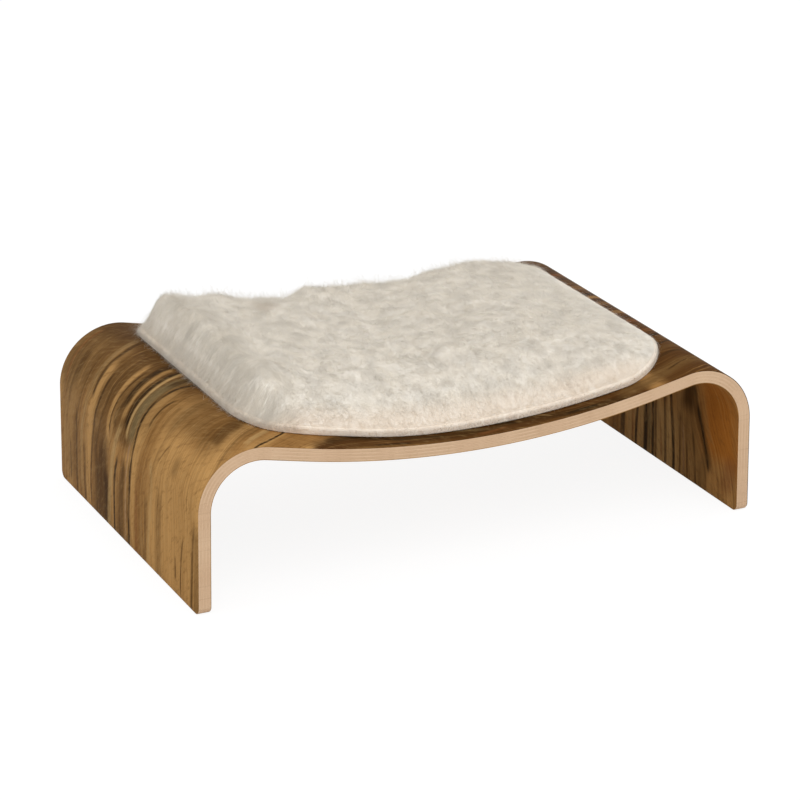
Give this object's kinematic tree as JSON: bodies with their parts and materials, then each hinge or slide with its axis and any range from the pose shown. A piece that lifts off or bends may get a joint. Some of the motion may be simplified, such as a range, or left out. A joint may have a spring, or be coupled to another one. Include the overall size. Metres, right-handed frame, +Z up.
{
  "type": "cat lounger",
  "caption": "Low bent-plywood bench with a hollowed seat, figured veneer faces and pale ply edges, carrying a loose rounded long-pile pad held on by touch tape.",
  "frame": {"origin": "on the floor, under the middle of the board", "axes": "+X along the board from the left leg to the right one, seen from the front; +Y from the front edge to the back edge; +Z up from the floor"},
  "size_m": [0.5334, 0.3416, 0.1771],
  "materials": {
    "figured_veneer": "satin",
    "pale_ply": "satin",
    "hook_nylon": "matte",
    "loop_knit": "matte",
    "base_cloth": "matte",
    "foam": "matte",
    "binding": "matte",
    "long_pile": "matte"
  },
  "bodies": {
    "board": {"outer_face_veneer": "figured_veneer", "core_ply_1": "pale_ply", "core_ply_2": "pale_ply", "core_ply_3": "pale_ply", "core_ply_4": "pale_ply", "core_ply_5": "pale_ply", "core_ply_6": "pale_ply", "core_ply_7": "pale_ply", "inner_face_veneer": "figured_veneer", "hook_patch_1": "hook_nylon", "hook_patch_2": "hook_nylon", "hook_patch_3": "hook_nylon", "hook_patch_4": "hook_nylon"},
    "pad": {"loop_patch_1": "loop_knit", "loop_patch_2": "loop_knit", "loop_patch_3": "loop_knit", "loop_patch_4": "loop_knit", "pad_base_cloth": "base_cloth", "pad_foam": "foam", "pad_edge_binding": "binding", "long_pile_top": "long_pile"}
  },
  "joints": [
    {"name": "pad_lift", "type": "slide", "parent": "board", "child": "pad", "axis": [0, 0, 1], "range_m": [0, 0.12]}
  ]
}
